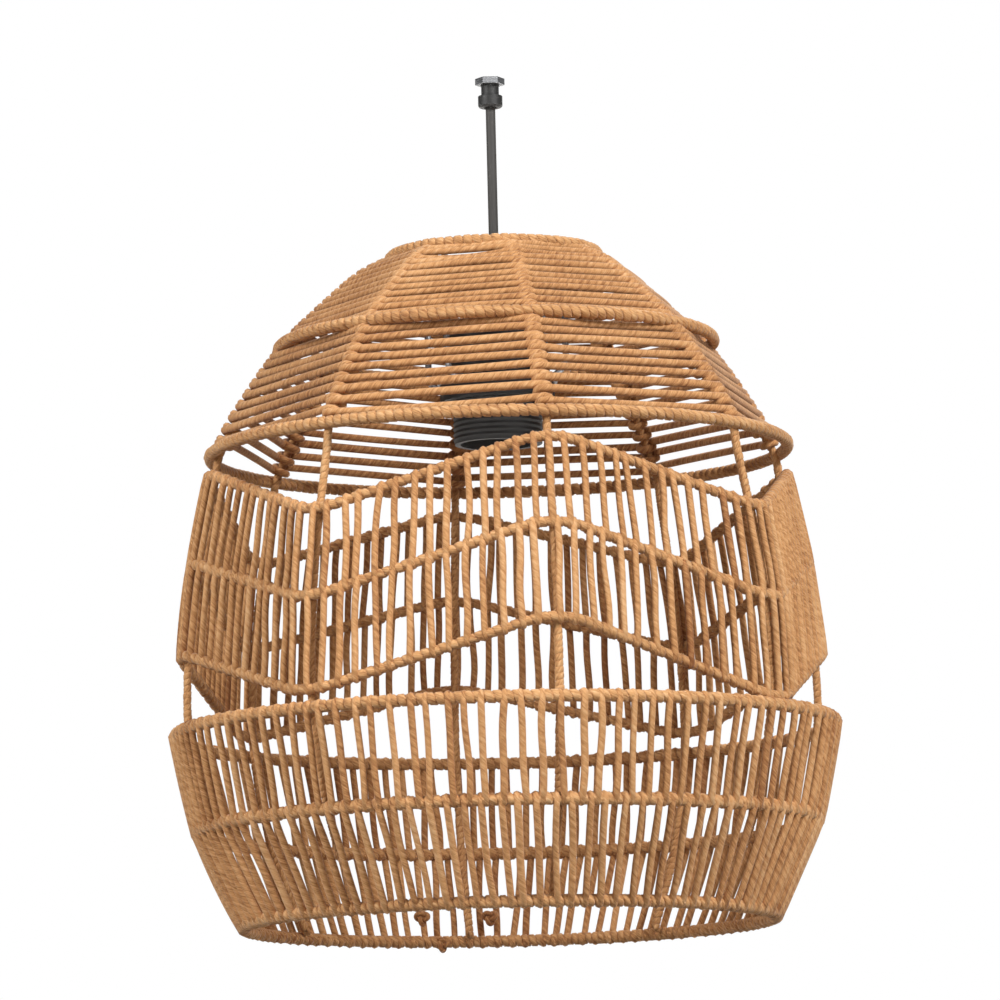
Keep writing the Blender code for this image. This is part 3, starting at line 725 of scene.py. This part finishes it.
def lay_rows(name, low, high, count, crowd, rope, slips, replaced):
    """Closed rows. Their places are even in length along the outline, moved by crowd s (1 - s)
    toward the upper ring. At each rib a row circles once, from the height it came at to the one
    it leaves at, and between two ribs it sags by sin(pi s) to the power 0.7. slips lists a row,
    a side counted from the back rib and how much further the row has sagged there."""
    s = (np.arange(count) + 1) / (count + 1)
    s = s + crowd * s * (1 - s)
    ends = np.interp([low, high], CURVE[:, 1], CURVE_LENGTH)
    height = np.interp(ends[0] + (ends[1] - ends[0]) * s, CURVE_LENGTH, CURVE[:, 1])
    height = height[:, None] + rng.normal(0, ROW_SLIP, (count, RIBS))
    angle = (BACK_RIB + 2 * np.pi * np.arange(RIBS) / RIBS)[None, :]
    radius, level = on_outline(height, RIB_DEPTH)
    rib = turn_to(radius, angle, level)[:, :, None]
    upward = slope_at(height, angle)[:, :, None]
    sideways = np.broadcast_to(
        np.stack([-np.sin(angle), np.cos(angle), 0 * angle], axis=-1)[:, :, None], upward.shape
    )
    square = np.cross(sideways, upward)
    step = LOOP_RISE * np.linspace(0.5, -0.5, 11)[None, None, :, None]
    circle = np.linspace(0, 2 * np.pi, 11)[None, None, :, None]
    loop = LOOP * (np.cos(circle) * square + np.sin(circle) * sideways)
    loop = rib + loop + upward * step
    leave, arrive = loop[:, :, -1:], np.roll(loop, -1, axis=1)[:, :, :1]
    s = np.linspace(0, 1, 9)[None, None, 1:-1, None]
    run = leave * (1 - s) + arrive * s
    sag = rng.normal(0.0, SAG, (count, RIBS))
    for row, side, amount in slips:
        sag[row, side] += amount
    run[..., 2] -= sag[:, :, None] * np.sin(np.pi * s[..., 0]) ** 0.7
    path = np.concatenate([loop, run], axis=2).reshape(count, -1, 3)
    reference = np.repeat(upward, loop.shape[2] + run.shape[2], axis=2).reshape(count, -1, 3)
    thick = rope * (1 + rng.normal(0, ROW_THICK, (count, 1)))
    points = carry_ellipse(path, reference, thick, thick, STRAND_SIDES, True)
    uv = rope_map(path, STRAND_SIDES, True)
    tone = rng.normal(0, ROW_TONE, count)
    write_mesh(name, points, uv, tone, True, "shade", replaced, STRUNG_ROPE)


FRONT_LEFT = 3  # the side to the left of the front rib
lay_rows(
    "cap_lower_rows",
    CAP_LOWER,
    CAP_MIDDLE,
    9,
    0.14,
    1.78 * MM,
    [(0, FRONT_LEFT, 0.9 * MM)],
    ["cap_lower_weave"],
)
lay_rows(
    "cap_upper_rows",
    CAP_MIDDLE,
    TOP,
    12,
    -0.05,
    1.68 * MM,
    [(9, FRONT_LEFT, 1.4 * MM)],
    ["cap_upper_weave"],
)

# %% [markdown]
# ## Ribs
# Each rib is one bent wire from the top ring to the bottom ring. In the cap the rows go round
# it. Below the cap it has its own thin winding, which can be seen in the two open gaps.


# %% Wind the ribs
LOW_RIB_DEPTH = 5.1 * MM  # a rib's middle below the outline, under the cap
STEP_FOOT, STEP_HEIGHT = 0.2, 0.012  # where a rib starts to step outward, and over what height
RIB_RADIUS = 2.0 * MM
RIB_WINDING = 0.85 * MM
RIB_TURNS = 104
RIB_PITCH = 3.45 * MM  # a little over a rib's length divided by its turns


def wind_ribs():
    """The rib's path eases from its depth under the rings to its depth in the cap, by the smooth
    step 3 s^2 - 2 s^3 at the cap's lower ring."""
    height = np.linspace(0.0, TOP - 1.3 * MM, 600)
    share = np.clip((height - STEP_FOOT) / STEP_HEIGHT, 0, 1)
    share = share * share * (3 - 2 * share)
    radius, level = on_outline(height, LOW_RIB_DEPTH * (1 - share) + RIB_DEPTH * share)
    for rib in range(RIBS):
        angle = FIRST_RIB + 2 * np.pi * rib / RIBS
        wire = turn_to(radius, angle, level)
        coil_round(
            f"rib_{rib + 1}_winding",
            wire,
            away_from_axis(wire),
            RIB_TURNS,
            RIB_RADIUS,
            RIB_WINDING,
            RIB_PITCH,
            False,
            [f"rib_{rib + 1}"],
        )


wind_ribs()

# %% [markdown]
# ## Knots
# Where a winding rope ran out, its end was tied to the next one inside the band. Three of those
# knots can be seen under the rim. A knot could be modelled from its two ends, but pulled tight it
# is only a small lump of crossing turns, which a closed trefoil gives with one formula.


# %% Tie the knots
KNOT_SIZE = 1.0 * MM  # a knot's path is six of these wide
KNOT_ROPE = 1.1 * MM  # radius of rope that is pulled tight in a knot
KNOT_TONE = -0.12  # a knot is browner than the strands
KNOTS = (  # angle round the axis in degrees, height and depth in millimetres
    (108.0, 9.0, 4.5),
    (92.5, 9.0, 4.5),
    (103.6, -1.8, 1.5),
)


def tie_knots(places):
    """Closed trefoils: (sin t + 2 sin 2t, cos t - 2 cos 2t, -1.2 sin 3t) times the knot's size,
    sideways, up and outward."""
    angle, height, depth = np.array(places).T[:, :, None]
    radius, level = on_outline(np.maximum(height, 0) * MM, depth * MM)
    centre = turn_to(radius, np.radians(angle), level + np.minimum(height, 0) * MM)
    t = (2 * np.pi * np.arange(48) / 48)[None]
    across = KNOT_SIZE * (np.sin(t) + 2 * np.sin(2 * t))
    up = KNOT_SIZE * (np.cos(t) - 2 * np.cos(2 * t))
    out = -1.2 * KNOT_SIZE * np.sin(3 * t)
    outward = away_from_axis(centre)
    sideways = np.cross(outward, [0.0, 0.0, 1.0])
    path = centre + across[..., None] * sideways + out[..., None] * outward
    path = path + up[..., None] * np.array([0.0, 0.0, 1.0])
    points = carry_ellipse(path, outward, KNOT_ROPE, KNOT_ROPE, STRAND_SIDES, True)
    tone = np.full(len(places), KNOT_TONE)
    uv = rope_map(path, STRAND_SIDES, True)
    write_mesh("knots", points, uv, tone, True, "shade", [], STRUNG_ROPE)


tie_knots(KNOTS)

# %% [markdown]
# ## Hard finishes
# The lamp holder is moulded phenolic, which is black and satin. The collar on the arm has a black
# powder coat with a fine orange-peel skin. Nuts, screws and the spider are zinc plated, contacts
# are pressed brass, and the insert is glazed porcelain. They differ in tone, gloss and grain but
# not in kind, so one function makes them all from one noise.


# %% Mix the hard finishes
def hard_finish(name, dark_hex, light_hex, grain, stretch, rough, relief, metal=0.0):
    """A finish whose tone, roughness and relief follow one noise. grain is the size of a speck in
    millimetres and stretch how much narrower it gets along X, Y and Z."""
    material, tree, shader = new_finish(name)
    where = add_node(tree, "ShaderNodeTexCoord")
    scaled = add_node(tree, "ShaderNodeMapping", Vector=where.outputs["Object"], Scale=stretch)
    speck = add_node(
        tree,
        "ShaderNodeTexNoise",
        Vector=scaled.outputs["Vector"],
        Scale=1000.0 / grain,
        Detail=3.0,
        Roughness=0.6,
    )
    tint = add_node(tree, "ShaderNodeValToRGB", Fac=speck.outputs["Fac"])
    tint.color_ramp.elements[0].position = 0.3
    tint.color_ramp.elements[0].color = linear(dark_hex)
    tint.color_ramp.elements[1].position = 0.7
    tint.color_ramp.elements[1].color = linear(light_hex)
    worn = add_node(
        tree,
        "ShaderNodeMapRange",
        Value=speck.outputs["Fac"],
        From_Min=0.3,
        From_Max=0.7,
        To_Min=rough[0],
        To_Max=rough[1],
    )
    bump = add_node(
        tree,
        "ShaderNodeBump",
        Strength=relief,
        Distance=0.1 * MM,
        Height=speck.outputs["Fac"],
    )
    tree.links.new(tint.outputs["Color"], shader.inputs["Base Color"])
    tree.links.new(worn.outputs["Result"], shader.inputs["Roughness"])
    tree.links.new(bump.outputs["Normal"], shader.inputs["Normal"])
    shader.inputs["Metallic"].default_value = metal
    return material


EVEN, TURNED, DRAWN = (1, 1, 1), (0.15, 0.15, 3), (2, 2, 0.08)
ORANGE_PEEL = 0.35  # size of a speck of the powder coat, in millimetres
PHENOLIC = hard_finish(
    "moulded_black_phenolic", "#060505", "#0D0C0B", 0.6, EVEN, (0.50, 0.66), 0.15
)
POWDER_COAT = hard_finish(
    "powder_coated_steel", "#101010", "#1C1B1A", ORANGE_PEEL, EVEN, (0.45, 0.60), 0.35
)
# Turning leaves fine rings round the axis, so the noise is squeezed along it
ZINC = hard_finish(
    "zinc_plated_steel", "#6E6F71", "#96979A", 1.2, TURNED, (0.35, 0.52), 0.1, 1.0
)
BRASS = hard_finish("pressed_brass", "#B98A3E", "#D9B468", 1.5, TURNED, (0.25, 0.42), 0.1, 1.0)
PORCELAIN = hard_finish("glazed_porcelain", "#D8D3C8", "#EAE6DD", 2.5, EVEN, (0.12, 0.22), 0.05)
# A cable is drawn through a die, which leaves faint streaks along it
SHEATH = hard_finish("grey_rubber_sheath", "#2E2C2A", "#403D3A", 1.0, DRAWN, (0.55, 0.75), 0.3)
print("a speck of the powder coat is", ORANGE_PEEL, "mm wide")

# %% [markdown]
# ## Lamp holder, cord and spider
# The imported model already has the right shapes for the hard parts, and they could stay as they
# are. But their round sides are facets and their edges are perfectly sharp, and such an edge
# catches no light and looks false. So each one is copied, its triangles are merged into clean
# faces, its round sides are shaded smooth and its corners are eased by up to 0.4 mm.


# %% Refine the hard parts
SHARP = math.radians(35)  # an edge that turns by more than this is a corner


def refine(node, body, finish, ease):
    """A copy of a CAD node: doubles merged, triangles joined to flat faces, blunt edges shaded
    smooth, and sharp ones bevelled by ease."""
    shape = bmesh.new()
    shape.from_mesh(nodes[node].data)
    bmesh.ops.remove_doubles(shape, verts=shape.verts, dist=0.001 * MM)
    bmesh.ops.dissolve_limit(
        shape, angle_limit=math.radians(0.5), verts=shape.verts, edges=shape.edges
    )
    bmesh.ops.recalc_face_normals(shape, faces=shape.faces)
    for face in shape.faces:
        face.smooth = True
    for edge in shape.edges:
        edge.smooth = edge.calc_face_angle(0.0) < SHARP
    mesh = bpy.data.meshes.new(f"{node}_eased")
    shape.to_mesh(mesh)
    shape.free()
    piece = finish_piece(f"{node}_eased", mesh, body, [node], finish)
    bevel = piece.modifiers.new("eased_edges", "BEVEL")
    bevel.width = ease
    bevel.segments = 2
    bevel.limit_method = "ANGLE"
    bevel.angle_limit = SHARP
    bevel.harden_normals = True


hard_parts = [  # node, body, finish, material slot, and easing of its corners in millimetres
    ("arm_gland", "arm_mount", POWDER_COAT, "black_paint", 0.35),
    ("gland_nut", "arm_mount", ZINC, "plated_steel", 0.2),
    ("suspension_cord", "cord", SHEATH, "grey_cable", 0.1),
    ("cord_grip", "holder", PHENOLIC, "black_moulding", 0.3),
    ("grip_screw", "holder", ZINC, "plated_steel", 0.1),
    ("holder_cover", "holder", PHENOLIC, "black_moulding", 0.4),
    ("holder_skirt", "holder", PHENOLIC, "black_moulding", 0.2),
    ("contact_insert", "holder", PORCELAIN, "white_moulding", 0.2),
    ("screw_shell", "holder", BRASS, "contact_brass", 0.05),
    ("centre_contact", "holder", BRASS, "contact_brass", 0.05),
    ("retaining_ring", "ring_nut", PHENOLIC, "black_moulding", 0.3),
    ("fitter_ring", "shade", ZINC, "plated_steel", 0.15),
]
hard_parts += [(f"spider_arm_{k}", "shade", ZINC, "plated_steel", 0.15) for k in range(1, 5)]
for node, body, finish, slot_name, ease in hard_parts:
    refine(node, body, finish, ease * MM)

# %% [markdown]
# ## Floor, light and background
# A large soft light from the right and front, weaker ones from the left, the front and behind, and
# a pale room. The camera sees the room as plain white, while it lights the shade less strongly, so
# that the far side of the weave stays darker than the near side.

# %% Build the stage
floor_mesh = bpy.data.meshes.new("floor")
REACH = 60.0  # metres from the middle of the floor to its edge
floor_mesh.from_pydata(
    [(-REACH, -REACH, 0), (REACH, -REACH, 0), (REACH, REACH, 0), (-REACH, REACH, 0)],
    [],
    [(0, 1, 2, 3)],
)
floor = bpy.data.objects.new("floor", floor_mesh)
floor.location.z = cad_box[0].z - 1.1  # the shade hangs 1.1 m over it
bpy.context.scene.collection.objects.link(floor)
plaster, _, plaster_shader = new_finish("pale_floor")
plaster_shader.inputs["Base Color"].default_value = linear("#F2F0EC")
plaster_shader.inputs["Roughness"].default_value = 0.9
floor_mesh.materials.append(plaster)


def soft_light(name, place, size, power):
    """A square white area light that faces the middle of the shade, with its place and size in
    metres and its power in watts."""
    lamp = bpy.data.lights.new(name, "AREA")
    lamp.size = size
    lamp.energy = power
    holder = bpy.data.objects.new(name, lamp)
    holder.location = place
    aim = Vector((0, 0, BOTTOM + 0.15)) - Vector(place)
    holder.rotation_mode = "QUATERNION"
    holder.rotation_quaternion = aim.to_track_quat("-Z", "Y")
    bpy.context.scene.collection.objects.link(holder)


soft_light("key_light", (2.4, -2.6, 2.1), 1.4, 178.0)
soft_light("fill_light", (-2.9, -1.9, 1.6), 1.6, 118.0)
soft_light("front_light", (0.4, -3.6, 0.2), 1.2, 22.0)
soft_light("back_light", (0.9, 3.1, 1.7), 1.8, 60.0)

# The wide floor has a light of its own, so that it stays pale to the horizon, and its bounce is
# kept off the shade, whose inside would lose its depth.
above = bpy.data.lights.new("floor_light", "SUN")
above.energy = 2.7
above.angle = math.radians(20)
above_holder = bpy.data.objects.new("floor_light", above)
bpy.context.scene.collection.objects.link(above_holder)
lit = bpy.data.collections.new("lit_by_floor_light")
lit.objects.link(floor)
above_holder.light_linking.receiver_collection = lit
floor.visible_diffuse = False

world = bpy.data.worlds.new("pale_room")
bpy.context.scene.world = world
world.use_nodes = True
room = world.node_tree
seen = add_node(room, "ShaderNodeLightPath")
brightness = add_node(
    room,
    "ShaderNodeMapRange",
    Value=seen.outputs["Is Camera Ray"],
    To_Min=0.21,
    To_Max=1.0,
)
room.nodes["Background"].inputs["Color"].default_value = (1, 1, 1, 1)
room.links.new(brightness.outputs["Result"], room.nodes["Background"].inputs["Strength"])
bpy.context.scene.view_settings.view_transform = "Standard"
print("floor at", round(floor.location.z, 2), "m")
